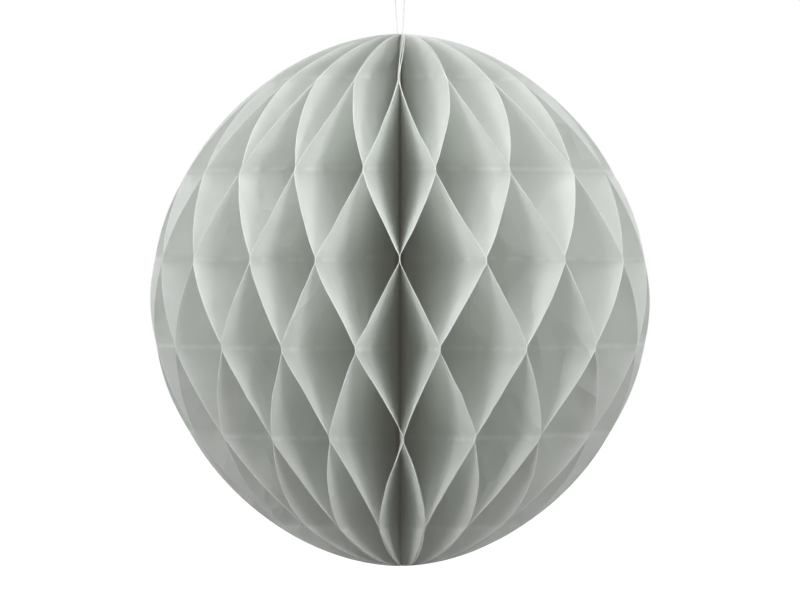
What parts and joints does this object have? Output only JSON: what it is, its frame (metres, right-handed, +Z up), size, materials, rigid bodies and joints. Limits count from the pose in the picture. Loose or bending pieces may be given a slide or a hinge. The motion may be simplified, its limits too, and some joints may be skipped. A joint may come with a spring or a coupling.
{
  "type": "paper honeycomb ball",
  "caption": "Tissue honeycomb ball of wavy half-disc sheets round a cord, closed by two card covers, hung on a knotted nylon loop; folds flat like a fan.",
  "frame": {"origin": "the hanging point: the inner side of the nylon loop at its highest point, straight above the core", "axes": "+Z up through the poles and the hanging loop, +Y to the covers' seam at the back, +X to the right seen from the front"},
  "size_m": [0.1877, 0.1875, 0.273],
  "materials": {
    "tissue": "matte",
    "card": "matte",
    "adhesive": "satin",
    "cord": "matte",
    "nylon": "satin"
  },
  "bodies": {
    "hanging_loop": {"hanging_loop": "nylon"},
    "spine": {"spine_thread": "cord"},
    "left_side": {"left_cover": "card", "closing_pads": "adhesive"},
    "right_side": {"right_cover": "card"},
    "leaf_01": {"tissue_sheet_01": "tissue"},
    "leaf_02": {"tissue_sheet_02": "tissue"},
    "leaf_03": {"tissue_sheet_03": "tissue"},
    "leaf_04": {"tissue_sheet_04": "tissue"},
    "leaf_05": {"tissue_sheet_05": "tissue"},
    "leaf_06": {"tissue_sheet_06": "tissue"},
    "leaf_07": {"tissue_sheet_07": "tissue"},
    "leaf_08": {"tissue_sheet_08": "tissue"},
    "leaf_09": {"tissue_sheet_09": "tissue"},
    "leaf_10": {"tissue_sheet_10": "tissue"},
    "leaf_11": {"tissue_sheet_11": "tissue"},
    "leaf_12": {"tissue_sheet_12": "tissue"},
    "leaf_13": {"tissue_sheet_13": "tissue"},
    "leaf_14": {"tissue_sheet_14": "tissue"},
    "leaf_15": {"tissue_sheet_15": "tissue"},
    "leaf_16": {"tissue_sheet_16": "tissue"},
    "leaf_17": {"tissue_sheet_17": "tissue"},
    "leaf_18": {"tissue_sheet_18": "tissue"},
    "leaf_19": {"tissue_sheet_19": "tissue"},
    "leaf_20": {"tissue_sheet_20": "tissue"},
    "leaf_21": {"tissue_sheet_21": "tissue"},
    "leaf_22": {"tissue_sheet_22": "tissue"},
    "leaf_23": {"tissue_sheet_23": "tissue"},
    "leaf_24": {"tissue_sheet_24": "tissue"},
    "leaf_25": {"tissue_sheet_25": "tissue"},
    "leaf_26": {"tissue_sheet_26": "tissue"},
    "leaf_27": {"tissue_sheet_27": "tissue"},
    "leaf_28": {"tissue_sheet_28": "tissue"},
    "leaf_29": {"tissue_sheet_29": "tissue"},
    "leaf_30": {"tissue_sheet_30": "tissue"},
    "leaf_31": {"tissue_sheet_31": "tissue"},
    "leaf_32": {"tissue_sheet_32": "tissue"},
    "leaf_33": {"tissue_sheet_33": "tissue"},
    "leaf_34": {"tissue_sheet_34": "tissue"},
    "leaf_35": {"tissue_sheet_35": "tissue"},
    "leaf_36": {"tissue_sheet_36": "tissue"},
    "leaf_37": {"tissue_sheet_37": "tissue"},
    "leaf_38": {"tissue_sheet_38": "tissue"}
  },
  "joints": [
    {"name": "ball_swing", "type": "hinge", "parent": "hanging_loop", "child": "spine", "pos_m": [0, 0, -0.07062], "axis": [0, 1, 0], "range_deg": [-30, 30]},
    {"name": "ball_turn", "type": "hinge", "parent": "spine", "child": "left_side", "pos_m": [0, 0, -0.16848], "axis": [0, 0, 1], "range_deg": [-180, 180]},
    {"name": "fan_fold", "type": "hinge", "parent": "left_side", "child": "right_side", "pos_m": [0, 0, -0.16848], "axis": [0, 0, 1], "range_deg": [-353, 0]},
    {"name": "leaf_fold_01", "type": "hinge", "parent": "left_side", "child": "leaf_01", "pos_m": [0, 0, -0.16848], "axis": [0, 0, 1], "range_deg": [-4.6, 0], "deforming": ["tissue_sheet_01"]},
    {"name": "leaf_fold_02", "type": "hinge", "parent": "left_side", "child": "leaf_02", "pos_m": [0, 0, -0.16848], "axis": [0, 0, 1], "range_deg": [-13.92, 0], "deforming": ["tissue_sheet_02"]},
    {"name": "leaf_fold_03", "type": "hinge", "parent": "left_side", "child": "leaf_03", "pos_m": [0, 0, -0.16848], "axis": [0, 0, 1], "range_deg": [-23.49, 0], "deforming": ["tissue_sheet_03"]},
    {"name": "leaf_fold_04", "type": "hinge", "parent": "left_side", "child": "leaf_04", "pos_m": [0, 0, -0.16848], "axis": [0, 0, 1], "range_deg": [-33.24, 0], "deforming": ["tissue_sheet_04"]},
    {"name": "leaf_fold_05", "type": "hinge", "parent": "left_side", "child": "leaf_05", "pos_m": [0, 0, -0.16848], "axis": [0, 0, 1], "range_deg": [-43.13, 0], "deforming": ["tissue_sheet_05"]},
    {"name": "leaf_fold_06", "type": "hinge", "parent": "left_side", "child": "leaf_06", "pos_m": [0, 0, -0.16848], "axis": [0, 0, 1], "range_deg": [-53.06, 0], "deforming": ["tissue_sheet_06"]},
    {"name": "leaf_fold_07", "type": "hinge", "parent": "left_side", "child": "leaf_07", "pos_m": [0, 0, -0.16848], "axis": [0, 0, 1], "range_deg": [-62.95, 0], "deforming": ["tissue_sheet_07"]},
    {"name": "leaf_fold_08", "type": "hinge", "parent": "left_side", "child": "leaf_08", "pos_m": [0, 0, -0.16848], "axis": [0, 0, 1], "range_deg": [-72.74, 0], "deforming": ["tissue_sheet_08"]},
    {"name": "leaf_fold_09", "type": "hinge", "parent": "left_side", "child": "leaf_09", "pos_m": [0, 0, -0.16848], "axis": [0, 0, 1], "range_deg": [-82.35, 0], "deforming": ["tissue_sheet_09"]},
    {"name": "leaf_fold_10", "type": "hinge", "parent": "left_side", "child": "leaf_10", "pos_m": [0, 0, -0.16848], "axis": [0, 0, 1], "range_deg": [-91.75, 0], "deforming": ["tissue_sheet_10"]},
    {"name": "leaf_fold_11", "type": "hinge", "parent": "left_side", "child": "leaf_11", "pos_m": [0, 0, -0.16848], "axis": [0, 0, 1], "range_deg": [-100.93, 0], "deforming": ["tissue_sheet_11"]},
    {"name": "leaf_fold_12", "type": "hinge", "parent": "left_side", "child": "leaf_12", "pos_m": [0, 0, -0.16848], "axis": [0, 0, 1], "range_deg": [-109.89, 0], "deforming": ["tissue_sheet_12"]},
    {"name": "leaf_fold_13", "type": "hinge", "parent": "left_side", "child": "leaf_13", "pos_m": [0, 0, -0.16848], "axis": [0, 0, 1], "range_deg": [-118.69, 0], "deforming": ["tissue_sheet_13"]},
    {"name": "leaf_fold_14", "type": "hinge", "parent": "left_side", "child": "leaf_14", "pos_m": [0, 0, -0.16848], "axis": [0, 0, 1], "range_deg": [-127.37, 0], "deforming": ["tissue_sheet_14"]},
    {"name": "leaf_fold_15", "type": "hinge", "parent": "left_side", "child": "leaf_15", "pos_m": [0, 0, -0.16848], "axis": [0, 0, 1], "range_deg": [-136.02, 0], "deforming": ["tissue_sheet_15"]},
    {"name": "leaf_fold_16", "type": "hinge", "parent": "left_side", "child": "leaf_16", "pos_m": [0, 0, -0.16848], "axis": [0, 0, 1], "range_deg": [-144.72, 0], "deforming": ["tissue_sheet_16"]},
    {"name": "leaf_fold_17", "type": "hinge", "parent": "left_side", "child": "leaf_17", "pos_m": [0, 0, -0.16848], "axis": [0, 0, 1], "range_deg": [-153.54, 0], "deforming": ["tissue_sheet_17"]},
    {"name": "leaf_fold_18", "type": "hinge", "parent": "left_side", "child": "leaf_18", "pos_m": [0, 0, -0.16848], "axis": [0, 0, 1], "range_deg": [-162.55, 0], "deforming": ["tissue_sheet_18"]},
    {"name": "leaf_fold_19", "type": "hinge", "parent": "left_side", "child": "leaf_19", "pos_m": [0, 0, -0.16848], "axis": [0, 0, 1], "range_deg": [-171.81, 0], "deforming": ["tissue_sheet_19"]},
    {"name": "leaf_fold_20", "type": "hinge", "parent": "left_side", "child": "leaf_20", "pos_m": [0, 0, -0.16848], "axis": [0, 0, 1], "range_deg": [-181.32, 0], "deforming": ["tissue_sheet_20"]},
    {"name": "leaf_fold_21", "type": "hinge", "parent": "left_side", "child": "leaf_21", "pos_m": [0, 0, -0.16848], "axis": [0, 0, 1], "range_deg": [-191.09, 0], "deforming": ["tissue_sheet_21"]},
    {"name": "leaf_fold_22", "type": "hinge", "parent": "left_side", "child": "leaf_22", "pos_m": [0, 0, -0.16848], "axis": [0, 0, 1], "range_deg": [-201.09, 0], "deforming": ["tissue_sheet_22"]},
    {"name": "leaf_fold_23", "type": "hinge", "parent": "left_side", "child": "leaf_23", "pos_m": [0, 0, -0.16848], "axis": [0, 0, 1], "range_deg": [-211.24, 0], "deforming": ["tissue_sheet_23"]},
    {"name": "leaf_fold_24", "type": "hinge", "parent": "left_side", "child": "leaf_24", "pos_m": [0, 0, -0.16848], "axis": [0, 0, 1], "range_deg": [-221.48, 0], "deforming": ["tissue_sheet_24"]},
    {"name": "leaf_fold_25", "type": "hinge", "parent": "left_side", "child": "leaf_25", "pos_m": [0, 0, -0.16848], "axis": [0, 0, 1], "range_deg": [-231.72, 0], "deforming": ["tissue_sheet_25"]},
    {"name": "leaf_fold_26", "type": "hinge", "parent": "left_side", "child": "leaf_26", "pos_m": [0, 0, -0.16848], "axis": [0, 0, 1], "range_deg": [-241.86, 0], "deforming": ["tissue_sheet_26"]},
    {"name": "leaf_fold_27", "type": "hinge", "parent": "left_side", "child": "leaf_27", "pos_m": [0, 0, -0.16848], "axis": [0, 0, 1], "range_deg": [-251.82, 0], "deforming": ["tissue_sheet_27"]},
    {"name": "leaf_fold_28", "type": "hinge", "parent": "left_side", "child": "leaf_28", "pos_m": [0, 0, -0.16848], "axis": [0, 0, 1], "range_deg": [-261.55, 0], "deforming": ["tissue_sheet_28"]},
    {"name": "leaf_fold_29", "type": "hinge", "parent": "left_side", "child": "leaf_29", "pos_m": [0, 0, -0.16848], "axis": [0, 0, 1], "range_deg": [-270.99, 0], "deforming": ["tissue_sheet_29"]},
    {"name": "leaf_fold_30", "type": "hinge", "parent": "left_side", "child": "leaf_30", "pos_m": [0, 0, -0.16848], "axis": [0, 0, 1], "range_deg": [-280.13, 0], "deforming": ["tissue_sheet_30"]},
    {"name": "leaf_fold_31", "type": "hinge", "parent": "left_side", "child": "leaf_31", "pos_m": [0, 0, -0.16848], "axis": [0, 0, 1], "range_deg": [-288.98, 0], "deforming": ["tissue_sheet_31"]},
    {"name": "leaf_fold_32", "type": "hinge", "parent": "left_side", "child": "leaf_32", "pos_m": [0, 0, -0.16848], "axis": [0, 0, 1], "range_deg": [-297.6, 0], "deforming": ["tissue_sheet_32"]},
    {"name": "leaf_fold_33", "type": "hinge", "parent": "left_side", "child": "leaf_33", "pos_m": [0, 0, -0.16848], "axis": [0, 0, 1], "range_deg": [-306.03, 0], "deforming": ["tissue_sheet_33"]},
    {"name": "leaf_fold_34", "type": "hinge", "parent": "left_side", "child": "leaf_34", "pos_m": [0, 0, -0.16848], "axis": [0, 0, 1], "range_deg": [-314.38, 0], "deforming": ["tissue_sheet_34"]},
    {"name": "leaf_fold_35", "type": "hinge", "parent": "left_side", "child": "leaf_35", "pos_m": [0, 0, -0.16848], "axis": [0, 0, 1], "range_deg": [-322.72, 0], "deforming": ["tissue_sheet_35"]},
    {"name": "leaf_fold_36", "type": "hinge", "parent": "left_side", "child": "leaf_36", "pos_m": [0, 0, -0.16848], "axis": [0, 0, 1], "range_deg": [-331.14, 0], "deforming": ["tissue_sheet_36"]},
    {"name": "leaf_fold_37", "type": "hinge", "parent": "left_side", "child": "leaf_37", "pos_m": [0, 0, -0.16848], "axis": [0, 0, 1], "range_deg": [-339.73, 0], "deforming": ["tissue_sheet_37"]},
    {"name": "leaf_fold_38", "type": "hinge", "parent": "left_side", "child": "leaf_38", "pos_m": [0, 0, -0.16848], "axis": [0, 0, 1], "range_deg": [-348.53, 0], "deforming": ["tissue_sheet_38"]}
  ],
  "couplings": [
    {"joint": "leaf_fold_01", "follows": "fan_fold", "ratio": 0.013026},
    {"joint": "leaf_fold_02", "follows": "fan_fold", "ratio": 0.039443},
    {"joint": "leaf_fold_03", "follows": "fan_fold", "ratio": 0.066538},
    {"joint": "leaf_fold_04", "follows": "fan_fold", "ratio": 0.094178},
    {"joint": "leaf_fold_05", "follows": "fan_fold", "ratio": 0.12217},
    {"joint": "leaf_fold_06", "follows": "fan_fold", "ratio": 0.1503},
    {"joint": "leaf_fold_07", "follows": "fan_fold", "ratio": 0.17834},
    {"joint": "leaf_fold_08", "follows": "fan_fold", "ratio": 0.20605},
    {"joint": "leaf_fold_09", "follows": "fan_fold", "ratio": 0.23328},
    {"joint": "leaf_fold_10", "follows": "fan_fold", "ratio": 0.25992},
    {"joint": "leaf_fold_11", "follows": "fan_fold", "ratio": 0.28592},
    {"joint": "leaf_fold_12", "follows": "fan_fold", "ratio": 0.31132},
    {"joint": "leaf_fold_13", "follows": "fan_fold", "ratio": 0.33623},
    {"joint": "leaf_fold_14", "follows": "fan_fold", "ratio": 0.36083},
    {"joint": "leaf_fold_15", "follows": "fan_fold", "ratio": 0.38533},
    {"joint": "leaf_fold_16", "follows": "fan_fold", "ratio": 0.40997},
    {"joint": "leaf_fold_17", "follows": "fan_fold", "ratio": 0.43496},
    {"joint": "leaf_fold_18", "follows": "fan_fold", "ratio": 0.4605},
    {"joint": "leaf_fold_19", "follows": "fan_fold", "ratio": 0.48671},
    {"joint": "leaf_fold_20", "follows": "fan_fold", "ratio": 0.51367},
    {"joint": "leaf_fold_21", "follows": "fan_fold", "ratio": 0.54135},
    {"joint": "leaf_fold_22", "follows": "fan_fold", "ratio": 0.56965},
    {"joint": "leaf_fold_23", "follows": "fan_fold", "ratio": 0.59842},
    {"joint": "leaf_fold_24", "follows": "fan_fold", "ratio": 0.62742},
    {"joint": "leaf_fold_25", "follows": "fan_fold", "ratio": 0.65642},
    {"joint": "leaf_fold_26", "follows": "fan_fold", "ratio": 0.68515},
    {"joint": "leaf_fold_27", "follows": "fan_fold", "ratio": 0.71338},
    {"joint": "leaf_fold_28", "follows": "fan_fold", "ratio": 0.74093},
    {"joint": "leaf_fold_29", "follows": "fan_fold", "ratio": 0.76767},
    {"joint": "leaf_fold_30", "follows": "fan_fold", "ratio": 0.79356},
    {"joint": "leaf_fold_31", "follows": "fan_fold", "ratio": 0.81865},
    {"joint": "leaf_fold_32", "follows": "fan_fold", "ratio": 0.84305},
    {"joint": "leaf_fold_33", "follows": "fan_fold", "ratio": 0.86695},
    {"joint": "leaf_fold_34", "follows": "fan_fold", "ratio": 0.89058},
    {"joint": "leaf_fold_35", "follows": "fan_fold", "ratio": 0.91421},
    {"joint": "leaf_fold_36", "follows": "fan_fold", "ratio": 0.93807},
    {"joint": "leaf_fold_37", "follows": "fan_fold", "ratio": 0.9624},
    {"joint": "leaf_fold_38", "follows": "fan_fold", "ratio": 0.98735}
  ]
}
